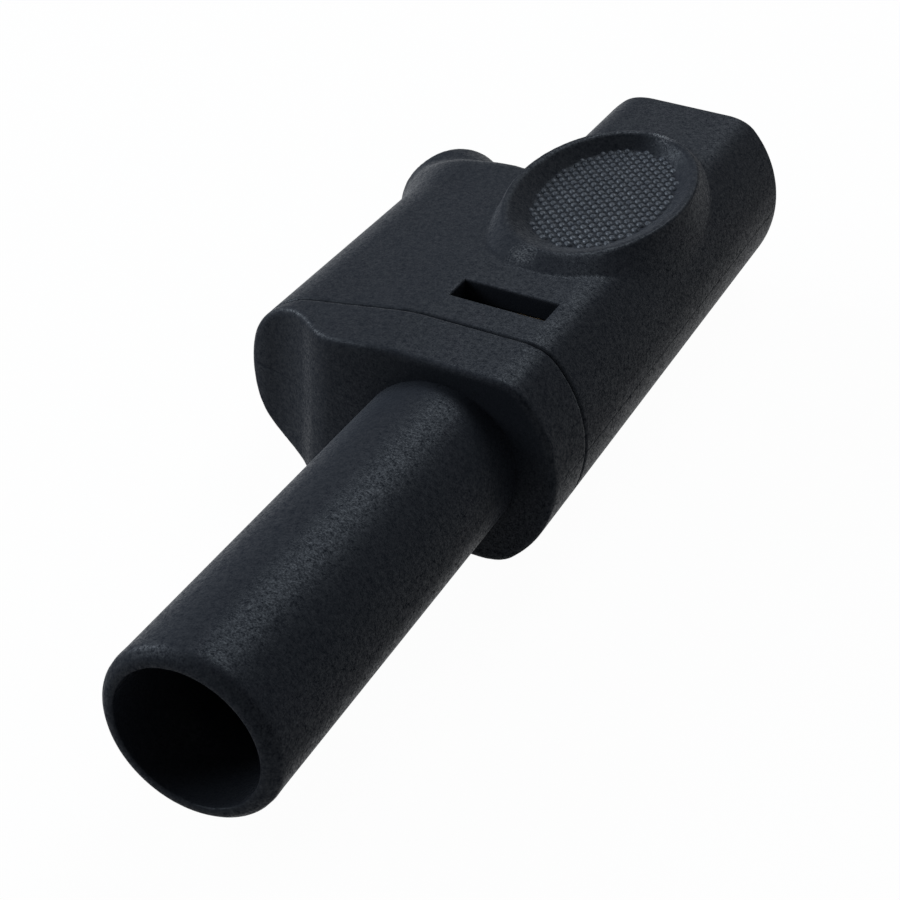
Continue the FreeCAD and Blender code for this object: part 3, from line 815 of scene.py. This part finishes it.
# %% [markdown]
# ## The grip in the dish
# The floor of the pad is covered with small domed studs, set cornerwise, so that a thumb
# doesn't slip. Hundreds of equal shapes on a rule are work for Geometry Nodes: a grid of points
# turned by 45 degrees, the points outside the oval deleted, and one low dome on each. A dome is
# a flattened ball whose lower half is sunk in the floor. It is a little longer along one diagonal,
# because the real studs run together into rows that way.


# %% A small helper for node trees
class Tree:
    """A Geometry Nodes tree under construction, with named inputs."""

    def __init__(self, name, inputs):
        self.group = bpy.data.node_groups.new(name, "GeometryNodeTree")
        face = self.group.interface
        face.new_socket("Geometry", in_out="INPUT", socket_type="NodeSocketGeometry")
        face.new_socket("Geometry", in_out="OUTPUT", socket_type="NodeSocketGeometry")
        for key, kind in inputs.items():
            face.new_socket(key, in_out="INPUT", socket_type="NodeSocket" + kind)
        self.inputs = self.group.nodes.new("NodeGroupInput").outputs

    def add(self, kind, settings=None, inputs=None, output=0):
        node = self.group.nodes.new(kind)
        for key, value in (settings or {}).items():
            setattr(node, key, value)
        for key, value in (inputs or {}).items():
            if isinstance(value, bpy.types.NodeSocket):
                self.group.links.new(value, node.inputs[key])
            else:
                node.inputs[key].default_value = value
        return node.outputs[output]

    def math(self, operation, first, second=0.0):
        return self.add("ShaderNodeMath", {"operation": operation}, {0: first, 1: second})

    def combine(self, x, y, z):
        return self.add("ShaderNodeCombineXYZ", {}, {0: x, 1: y, 2: z})

    def end(self, geometry, material):
        real = self.add("GeometryNodeRealizeInstances", {}, {0: geometry})
        named = self.add("GeometryNodeSetMaterial", {}, {"Geometry": real, "Material": material})
        out = self.group.nodes.new("NodeGroupOutput")
        self.group.links.new(named, out.inputs[0])


def bake(name, tree, values, material, start=None):
    """Run a tree on a mesh and keep the result as a plain piece."""
    carrier = new_piece(name, start or bpy.data.meshes.new(name), material)
    modifier = carrier.modifiers.new(name, "NODES")
    modifier.node_group = tree.group
    for item in tree.group.interface.items_tree:
        if item.in_out == "INPUT" and item.name in values:
            modifier[item.identifier] = values[item.name]
    evaluated = carrier.evaluated_get(bpy.context.evaluated_depsgraph_get())
    mesh = bpy.data.meshes.new_from_object(evaluated)
    carrier.modifiers.remove(modifier)
    carrier.data = mesh
    print(name, len(mesh.polygons), "faces")
    return carrier


# %% Grip tree
STUD_WIDTH, STUD_LENGTH = 0.84, 1.22
STUD_SEGMENTS, STUD_RINGS = 10, 6


def grip_tree():
    tree = Tree("grip", {
        "Pitch": "Float", "Height": "Float", "Half Width": "Float", "Half Length": "Float",
        "Centre": "Vector", "Count": "Int", "Material": "Material"})
    pitch = tree.inputs["Pitch"]
    size = tree.math("MULTIPLY", pitch, tree.math("SUBTRACT", tree.inputs["Count"], 1.0))
    grid = tree.add("GeometryNodeMeshGrid", {}, {
        "Size X": size, "Size Y": size,
        "Vertices X": tree.inputs["Count"], "Vertices Y": tree.inputs["Count"]})
    turned_grid = tree.add("GeometryNodeTransform", {}, {
        "Geometry": grid, "Rotation": (0, 0, math.pi / 4)})
    place = tree.add("ShaderNodeSeparateXYZ", {}, {0: tree.add("GeometryNodeInputPosition")})
    parts = place.node.outputs
    across = tree.math("DIVIDE", parts["X"], tree.inputs["Half Width"])
    along = tree.math("DIVIDE", parts["Y"], tree.inputs["Half Length"])
    size_squared = tree.math(
        "ADD", tree.math("MULTIPLY", across, across), tree.math("MULTIPLY", along, along))
    outside = tree.math("GREATER_THAN", size_squared, 1.0)
    points = tree.add("GeometryNodeDeleteGeometry", {"domain": "POINT"}, {
        "Geometry": turned_grid, "Selection": outside})
    half_pitch = tree.math("MULTIPLY", pitch, 0.5)
    ball = tree.add("GeometryNodeMeshUVSphere", {}, {
        "Segments": STUD_SEGMENTS, "Rings": STUD_RINGS, "Radius": half_pitch})
    flat = tree.math("DIVIDE", tree.inputs["Height"], half_pitch)
    stud = tree.add("GeometryNodeTransform", {}, {
        "Geometry": ball, "Scale": tree.combine(STUD_WIDTH, STUD_LENGTH, flat)})
    studs = tree.add("GeometryNodeInstanceOnPoints", {}, {
        "Points": points, "Instance": stud, "Rotation": (0, 0, math.pi / 4)})
    moved = tree.add("GeometryNodeTransform", {}, {
        "Geometry": studs, "Translation": tree.inputs["Centre"]})
    tree.end(moved, tree.inputs["Material"])
    return tree


# %% Grip piece
GRIP_PITCH = 0.487
GRIP_HEIGHT = 0.19
GRIP_SINK = 0.04
GRIP_MARGIN = 0.1
GRIP_COUNT = 31
# The studs take the lighter grip plastic, which is painted light and not a different plastic.
grip = bake("finger_grip", grip_tree(), {
    "Pitch": GRIP_PITCH * MM, "Height": GRIP_HEIGHT * MM,
    "Half Width": (DISH_FLOOR_HALF[0] + GRIP_MARGIN) * MM,
    "Half Length": (DISH_FLOOR_HALF[1] + GRIP_MARGIN) * MM,
    "Centre": (0, (PAD_CENTRE_Y + DISH_FLOOR_SHIFT) * MM, (DISH_FLOOR_Z - GRIP_SINK) * MM),
    "Count": GRIP_COUNT, "Material": grip_plastic_painted_lighter}, grip_plastic_painted_lighter)
grip.data.shade_smooth()
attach(grip, "root")

# %% [markdown]
# ## Turned pieces
# Pin and socket come off a lathe, so each is an outline spun about the plug's axis. The outline
# is a list of radius and place, walked once around the solid, with small bevels where the real
# piece has them. Short steps at the nose give its dome.


# %% Turning
TURN_STEPS = 96
DOME_STEPS = 8
SHARP_ANGLE = math.radians(35)


def turned_mesh(name, outline):
    """Spin a closed outline of (radius, y) about the Y axis; radius zero closes at a pole."""
    vertices, rings = [], []
    for radius, y in outline:
        if radius == 0:
            rings.append([len(vertices)] * TURN_STEPS)
            vertices.append((0, y * MM, 0))
            continue
        rings.append(list(range(len(vertices), len(vertices) + TURN_STEPS)))
        for i in range(TURN_STEPS):
            turn = math.tau * i / TURN_STEPS
            vertices.append((radius * math.sin(turn) * MM, y * MM, radius * math.cos(turn) * MM))
    faces = []
    for k, ring in enumerate(rings):
        following = rings[(k + 1) % len(rings)]
        if ring[0] == ring[1] and following[0] == following[1]:
            continue
        for i in range(TURN_STEPS):
            j = (i + 1) % TURN_STEPS
            face = [ring[i], ring[j], following[j], following[i]]
            faces.append([v for n, v in enumerate(face) if v not in face[:n]])
    mesh = bpy.data.meshes.new(name)
    mesh.from_pydata(vertices, [], faces)
    mesh.shade_smooth()
    mesh.set_sharp_from_angle(angle=SHARP_ANGLE)
    return mesh


def dome(radius, y, corner_radius):
    """The rounded front of a pin, from its axis out to its side."""
    points = [(0, y)]
    for i in range(DOME_STEPS + 1):
        turn = math.pi / 2 * i / DOME_STEPS
        points.append((
            radius - corner_radius * (1 - math.sin(turn)),
            y + corner_radius * (1 - math.cos(turn))))
    return points


# %% Contact pin
pin_low, pin_high = node_box("contact_pin")
PIN_TIP_Y, PIN_END_Y = pin_low[1], pin_high[1]
NOSE_RADIUS, NOSE_ROUND, NOSE_LENGTH = 1.9, 0.75, 1.1
CORE_RADIUS, SHANK_RADIUS, LAND_RADIUS, COLLAR_RADIUS = 1.42, 1.95, 2.35, pin_high[0]
JOURNAL_RADIUS = 1.7
CORE_START_Y = PIN_TIP_Y + NOSE_LENGTH
CORE_END_Y = PARTITION_START_Y - 2.3
BLOCK_START_Y = SEAM_Y + 0.15
BREAK = 0.08
COLLAR_BREAK = 0.12

pin_outline = dome(NOSE_RADIUS, PIN_TIP_Y, NOSE_ROUND) + [
    (NOSE_RADIUS, CORE_START_Y - BREAK), (NOSE_RADIUS - BREAK, CORE_START_Y),
    (CORE_RADIUS, CORE_START_Y), (CORE_RADIUS, CORE_END_Y),
    (SHANK_RADIUS - BREAK, CORE_END_Y), (SHANK_RADIUS, CORE_END_Y + BREAK),
    (SHANK_RADIUS, PARTITION_START_Y), (LAND_RADIUS, PARTITION_START_Y),
    (LAND_RADIUS, PARTITION_END_Y), (COLLAR_RADIUS - COLLAR_BREAK, PARTITION_END_Y),
    (COLLAR_RADIUS, PARTITION_END_Y + COLLAR_BREAK),
    (COLLAR_RADIUS, BLOCK_START_Y - COLLAR_BREAK),
    (COLLAR_RADIUS - COLLAR_BREAK, BLOCK_START_Y), (JOURNAL_RADIUS, BLOCK_START_Y),
    (JOURNAL_RADIUS, PIN_END_Y - BREAK), (JOURNAL_RADIUS - BREAK, PIN_END_Y), (0, PIN_END_Y)]
pin = new_piece("turned_pin", turned_mesh("turned_pin", pin_outline), nickel)

# %% Socket barrel
barrel_low, barrel_high = node_box("socket_barrel")
BARREL_RADIUS = barrel_high[0]
BARREL_START_Y, BARREL_END_Y = barrel_low[1], barrel_high[1]
BARREL_BREAK = 0.1
SOCKET_RADIUS, SOCKET_DEPTH, SOCKET_LEAD_IN = 2.025, 14.3, 0.25
SOCKET_BOTTOM_Y = BARREL_END_Y - SOCKET_DEPTH
HOLE_RADIUS = JOURNAL_RADIUS + 0.02
HOLE_END_Y = PIN_END_Y + 0.2
barrel_outline = [
    (HOLE_RADIUS, BARREL_START_Y), (BARREL_RADIUS - BARREL_BREAK, BARREL_START_Y),
    (BARREL_RADIUS, BARREL_START_Y + BARREL_BREAK), (BARREL_RADIUS, BARREL_END_Y - BARREL_BREAK),
    (BARREL_RADIUS - BARREL_BREAK, BARREL_END_Y), (SOCKET_RADIUS + SOCKET_LEAD_IN, BARREL_END_Y),
    (SOCKET_RADIUS, BARREL_END_Y - SOCKET_LEAD_IN), (SOCKET_RADIUS, SOCKET_BOTTOM_Y),
    (0, SOCKET_BOTTOM_Y), (0, HOLE_END_Y), (HOLE_RADIUS, HOLE_END_Y)]
barrel = new_piece("turned_socket", turned_mesh("turned_socket", barrel_outline), nickel)
for piece, node in ((pin, "contact_pin"), (barrel, "socket_barrel")):
    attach(piece, "root")
    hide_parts(node)
    print(piece.name, len(piece.data.polygons), "faces")

# %% [markdown]
# ## The spring cage
# Two thin bands carry eight sprung ribs that bulge outwards and press on the socket's wall. The
# bands are turned. A rib is a flat bar that Geometry Nodes bends onto the bulge and then repeats
# around the pin, which keeps all eight alike.


# %% Cage tree
def cage_tree():
    tree = Tree("cage", {
        "Ribs": "Int", "Inner Radius": "Float", "Bulge": "Float", "Wall": "Float",
        "Length": "Float", "Start": "Float", "Rib Angle": "Float", "Material": "Material"})
    bar = tree.add("GeometryNodeMeshCube", {}, {
        "Size": tree.combine(tree.inputs["Rib Angle"], 1.0, 1.0),
        "Vertices X": 7, "Vertices Y": 25, "Vertices Z": 2})
    place = tree.add("ShaderNodeSeparateXYZ", {}, {0: tree.add("GeometryNodeInputPosition")})
    parts = place.node.outputs
    share = tree.math("ADD", parts["Y"], 0.5)
    arch = tree.math("SINE", tree.math("MULTIPLY", share, math.pi))
    wall = tree.math("MULTIPLY", tree.math("ADD", parts["Z"], 0.5), tree.inputs["Wall"])
    lifted = tree.math("ADD", wall, tree.math("MULTIPLY", arch, tree.inputs["Bulge"]))
    radius = tree.math("ADD", tree.inputs["Inner Radius"], lifted)
    along = tree.math(
        "ADD", tree.inputs["Start"], tree.math("MULTIPLY", share, tree.inputs["Length"]))
    bent = tree.combine(
        tree.math("MULTIPLY", radius, tree.math("SINE", parts["X"])), along,
        tree.math("MULTIPLY", radius, tree.math("COSINE", parts["X"])))
    rib = tree.add("GeometryNodeSetPosition", {}, {"Geometry": bar, "Position": bent})
    spots = tree.add("GeometryNodePoints", {}, {"Count": tree.inputs["Ribs"]})
    number = tree.math("ADD", tree.add("GeometryNodeInputIndex"), 0.5)
    turn = tree.math("DIVIDE", tree.math("MULTIPLY", number, math.tau), tree.inputs["Ribs"])
    ribs = tree.add("GeometryNodeInstanceOnPoints", {}, {
        "Points": spots, "Instance": rib, "Rotation": tree.combine(0.0, turn, 0.0)})
    whole = tree.add("GeometryNodeJoinGeometry")
    for part in (ribs, tree.inputs["Geometry"]):
        tree.group.links.new(part, whole.node.inputs[0])
    tree.end(whole, tree.inputs["Material"])
    return tree


# %% Cage piece
cage_low, cage_high = node_box("spring_cage")
CAGE_START_Y, CAGE_END_Y = cage_low[1], cage_high[1]
CAGE_WALL = 0.16
CAGE_INNER = CORE_RADIUS + 0.04
CAGE_OUTER = CAGE_INNER + CAGE_WALL
CAGE_BULGE = 2.08 - CAGE_OUTER
CAGE_BAND = 1.1
CAGE_RIBS = 8
CAGE_SLOT = 0.45
RIB_OVERLAP = 0.05
bands = bpy.data.meshes.new("cage_bands")
band_corners, band_faces = [], []
for start_y, end_y in (
        (CAGE_START_Y, CAGE_START_Y + CAGE_BAND), (CAGE_END_Y - CAGE_BAND, CAGE_END_Y)):
    band = turned_mesh("cage_band", [
        (CAGE_INNER, start_y), (CAGE_OUTER, start_y), (CAGE_OUTER, end_y), (CAGE_INNER, end_y)])
    first = len(band_corners)
    band_corners += [tuple(v.co) for v in band.vertices]
    band_faces += [[first + i for i in face.vertices] for face in band.polygons]
bands.from_pydata(band_corners, [], band_faces)
mean_radius = CAGE_OUTER + CAGE_BULGE / 2
cage = bake("sprung_cage", cage_tree(), {
    "Ribs": CAGE_RIBS, "Inner Radius": CAGE_INNER * MM, "Bulge": CAGE_BULGE * MM,
    "Wall": CAGE_WALL * MM, "Start": (CAGE_START_Y + CAGE_BAND - RIB_OVERLAP) * MM,
    "Length": (CAGE_END_Y - CAGE_START_Y - 2 * (CAGE_BAND - RIB_OVERLAP)) * MM,
    "Rib Angle": math.tau / CAGE_RIBS - CAGE_SLOT / mean_radius,
    "Material": nickel}, nickel, bands)
cage.data.shade_smooth()
cage.data.set_sharp_from_angle(angle=SHARP_ANGLE)
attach(cage, "root")
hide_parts("spring_cage")

# %% [markdown]
# ## Floor and light
# The plug was photographed on pure white, so the floor glows white to the camera and in
# reflections and is plain paint to every other ray, with a small share of paint left in for the
# plug's shadow. The world does the same. A large lamp high behind the plug gives the tops their
# even grey. Two on the left light the sleeve and the wing, and a small one overhead puts sparks
# on the studs. The side towards the camera gets only what the floor sends back.

# %% Floor
FLOOR_HALF = 1.5
FLOOR_PAINT = (0.55, 0.55, 0.55, 1)
FLOOR_GLOW = 0.975
PURE_WHITE = (1, 1, 1, 1)


def looking_rays(finish):
    """One for the rays that see a background: straight on, in a shine or through glass."""
    camera_ray, glossy_ray, glass_ray = [
        finish.add("ShaderNodeLightPath", output=f"Is {kind} Ray")
        for kind in ("Camera", "Glossy", "Transmission")]
    return camera_ray.larger(glossy_ray).larger(glass_ray)


def pale_floor():
    finish = Finish(bpy.data.materials.new("pale_floor"))
    share = looking_rays(finish) * FLOOR_GLOW
    paint = finish.add("ShaderNodeBsdfDiffuse", {}, {"Color": FLOOR_PAINT})
    glow = finish.add("ShaderNodeEmission", {}, {"Color": PURE_WHITE, "Strength": 1.0})
    return finish.end(finish.add("ShaderNodeMixShader", {}, {0: share, 1: paint, 2: glow}))


floor_z = cad_box[0][2]
floor_mesh = bpy.data.meshes.new("floor")
floor_mesh.from_pydata([
    (-FLOOR_HALF, -FLOOR_HALF, floor_z), (FLOOR_HALF, -FLOOR_HALF, floor_z),
    (FLOOR_HALF, FLOOR_HALF, floor_z), (-FLOOR_HALF, FLOOR_HALF, floor_z)], [], [(0, 1, 2, 3)])
floor = new_piece("floor", floor_mesh, pale_floor())
print("floor at", round(floor_z / MM, 2), "mm")

# %% World
SEEN_COLOUR = (0.8, 0.8, 0.8, 1)
FILL_COLOUR = (0.82, 0.91, 1.0, 1)
FILL_STRENGTH = 0.12
studio = Finish(bpy.data.worlds.new("studio"))
seen = studio.add("ShaderNodeBackground", {}, {"Color": SEEN_COLOUR, "Strength": 1.0})
fill = studio.add("ShaderNodeBackground", {}, {"Color": FILL_COLOUR, "Strength": FILL_STRENGTH})
sky = studio.add("ShaderNodeMixShader", {}, {0: looking_rays(studio), 1: fill, 2: seen})
bpy.context.scene.world = studio.end(sky, "ShaderNodeOutputWorld")
print("world", len(studio.tree.nodes), "nodes")

# %% Lamps
COOL_WHITE = (0.87, 0.935, 1.0)
LAMP_AIM_MM = (-3, 6, 0)


def lamp(name, place_mm, size_mm, watts):
    """A round area lamp that faces the middle of the plug."""
    light = bpy.data.lights.new(name, "AREA")
    light.shape = "DISK"
    light.size = size_mm * MM
    light.energy = watts
    light.color = COOL_WHITE
    holder = bpy.data.objects.new(name, light)
    bpy.context.scene.collection.objects.link(holder)
    holder.location = Vector(place_mm) * MM
    aim = Vector(LAMP_AIM_MM) * MM - holder.location
    holder.rotation_euler = aim.to_track_quat("-Z", "Y").to_euler()
    print(name, watts, "W")


lamp("high_lamp", (-25, 322, 383), 260, 1.75)
lamp("left_lamp", (-430, 40, 190), 240, 2.5)
lamp("front_left_lamp", (-380, -190, 230), 240, 1.0)
lamp("spark_lamp", (-175, -35, 445), 60, 0.08)

# %% [markdown]
# ## Colour
# The standard view keeps written colours as they are.

# %% Finish
bpy.context.scene.view_settings.view_transform = "Standard"
print("cad box", cad_box)
